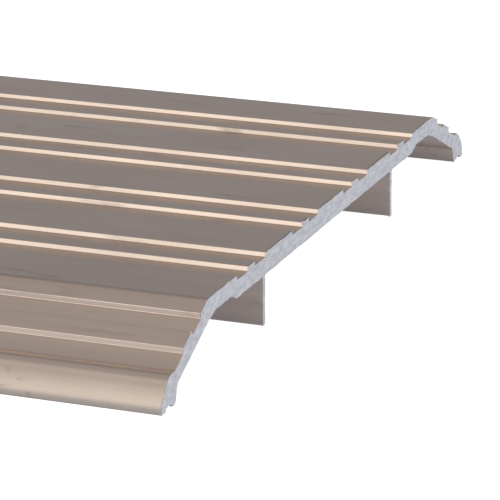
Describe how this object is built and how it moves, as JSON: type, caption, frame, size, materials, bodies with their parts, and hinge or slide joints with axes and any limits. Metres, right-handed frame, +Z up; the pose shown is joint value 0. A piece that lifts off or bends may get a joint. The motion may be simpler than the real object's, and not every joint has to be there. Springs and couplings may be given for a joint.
{
  "type": "threshold strip",
  "caption": "Fluted aluminium saddle threshold with ramped edges, serrated feet, supporting legs and countersunk flat head screws.",
  "frame": {"origin": "on the floor plane under the middle of the strip: halfway along its length and halfway across its width", "axes": "+X along the doorway, +Y across it from one ramp to the other, +Z up"},
  "size_m": [0.9144, 0.1524, 0.0381],
  "materials": {
    "extrusion": "satin anodised in a pale bronze tint, with fine lines along the extrusion and a bare sawn end",
    "screw": "plain stainless"
  },
  "bodies": {
    "strip": {"threshold_extrusion": "extrusion"},
    "front_screw_1": {"screw_front_1": "screw"},
    "front_screw_2": {"screw_front_2": "screw"},
    "front_screw_3": {"screw_front_3": "screw"},
    "front_screw_4": {"screw_front_4": "screw"},
    "rear_screw_1": {"screw_rear_1": "screw"},
    "rear_screw_2": {"screw_rear_2": "screw"},
    "rear_screw_3": {"screw_rear_3": "screw"},
    "rear_screw_4": {"screw_rear_4": "screw"}
  },
  "joints": [
    {"name": "front_screw_1_lift", "type": "slide", "parent": "strip", "child": "front_screw_1", "axis": [0, 0, 1], "range_m": [0, 0.04]},
    {"name": "front_screw_2_lift", "type": "slide", "parent": "strip", "child": "front_screw_2", "axis": [0, 0, 1], "range_m": [0, 0.04]},
    {"name": "front_screw_3_lift", "type": "slide", "parent": "strip", "child": "front_screw_3", "axis": [0, 0, 1], "range_m": [0, 0.04]},
    {"name": "front_screw_4_lift", "type": "slide", "parent": "strip", "child": "front_screw_4", "axis": [0, 0, 1], "range_m": [0, 0.04]},
    {"name": "rear_screw_1_lift", "type": "slide", "parent": "strip", "child": "rear_screw_1", "axis": [0, 0, 1], "range_m": [0, 0.04]},
    {"name": "rear_screw_2_lift", "type": "slide", "parent": "strip", "child": "rear_screw_2", "axis": [0, 0, 1], "range_m": [0, 0.04]},
    {"name": "rear_screw_3_lift", "type": "slide", "parent": "strip", "child": "rear_screw_3", "axis": [0, 0, 1], "range_m": [0, 0.04]},
    {"name": "rear_screw_4_lift", "type": "slide", "parent": "strip", "child": "rear_screw_4", "axis": [0, 0, 1], "range_m": [0, 0.04]}
  ]
}
